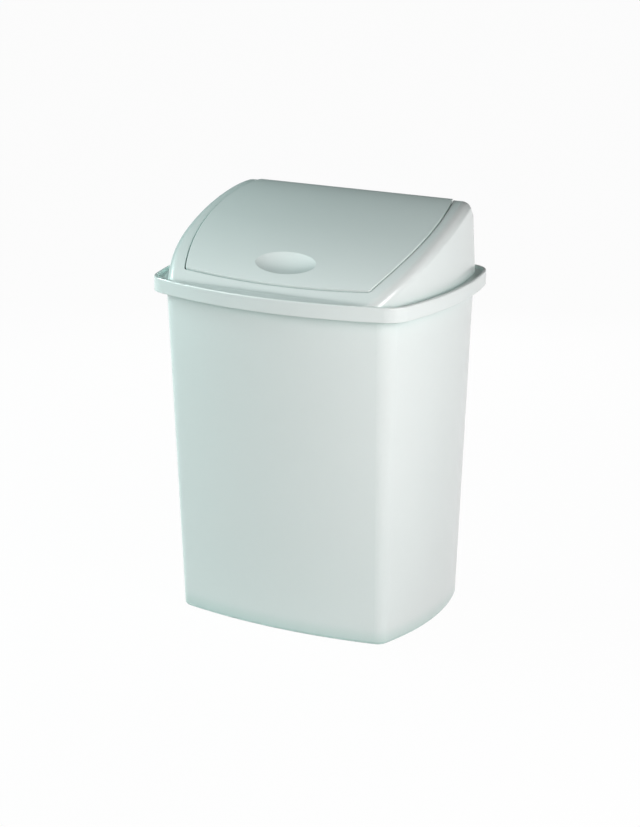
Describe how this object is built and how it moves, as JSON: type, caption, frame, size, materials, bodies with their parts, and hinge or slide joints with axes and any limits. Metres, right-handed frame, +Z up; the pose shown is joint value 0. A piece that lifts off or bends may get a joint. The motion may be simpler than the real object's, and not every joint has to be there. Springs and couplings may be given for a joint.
{
  "type": "swing-lid bin",
  "caption": "Countertop bin: tapered bowed bucket under a lift-off sloping lid with a drain gutter and a push flap that swings inwards on moulded pins and closes itself",
  "frame": {"origin": "middle of the footprint, on the surface that the bin stands on", "axes": "+Z up, the bin's front, with the low end of the lid, faces -Y, +X is across the width"},
  "size_m": [0.24, 0.1938, 0.3311],
  "materials": {
    "white_plastic": "satin moulded polypropylene"
  },
  "bodies": {
    "bucket": {"bucket": "white_plastic"},
    "hood": {"hood": "white_plastic"},
    "flap": {"flap": "white_plastic"}
  },
  "joints": [
    {"name": "hood_lift", "type": "slide", "parent": "bucket", "child": "hood", "axis": [0, 0, 1], "range_m": [0, 0.12]},
    {"name": "flap_swing", "type": "hinge", "parent": "hood", "child": "flap", "pos_m": [0, -0.022, 0.30319], "axis": [1, 0, 0], "range_deg": [0, 55]}
  ]
}
